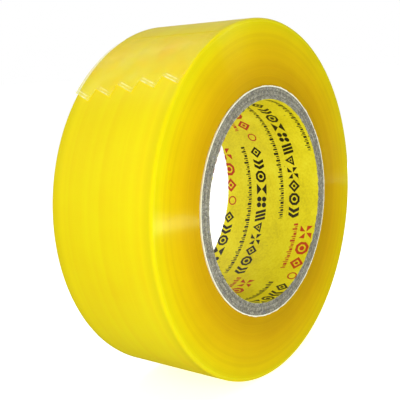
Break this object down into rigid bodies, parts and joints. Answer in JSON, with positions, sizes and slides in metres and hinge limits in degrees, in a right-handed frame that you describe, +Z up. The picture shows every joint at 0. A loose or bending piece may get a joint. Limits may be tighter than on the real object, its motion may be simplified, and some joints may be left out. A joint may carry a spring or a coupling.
{
  "type": "adhesive tape roll",
  "caption": "Roll of translucent yellow film packing tape on a spiral-wound paperboard core with a printed liner; its saw-toothed free end peels up on a hinge.",
  "frame": {"origin": "centre of the core's bore, halfway along the core", "axes": "+Y along the core's axis away from the front face, +Z up with the roll standing on its rim, +X to the right seen from the front; the tape's free end lies at the upper left"},
  "size_m": [0.1349, 0.046, 0.1349],
  "materials": {
    "tape_film": "glossy translucent yellow film",
    "printed_liner": "smooth printed paper",
    "grey_board": "matt speckled recycled board",
    "facing_paper": "matt pale paper"
  },
  "bodies": {
    "roll": {"bore_liner_paper": "printed_liner", "core_board_ply_1": "grey_board", "core_board_ply_2": "grey_board", "core_board_ply_3": "grey_board", "core_board_ply_4": "grey_board", "core_board_ply_5": "grey_board", "core_board_ply_6": "grey_board", "core_board_ply_7": "grey_board", "core_board_ply_8": "grey_board", "core_facing_paper": "facing_paper", "tape_wound_pack": "tape_film", "tape_last_turn": "tape_film"},
    "tape_end": {"tape_free_end": "tape_film"}
  },
  "joints": [
    {"name": "tape_end_peel", "type": "hinge", "parent": "roll", "child": "tape_end", "pos_m": [-0.02529, 0, 0.06259], "axis": [0, 1, 0], "range_deg": [0, 110]}
  ]
}
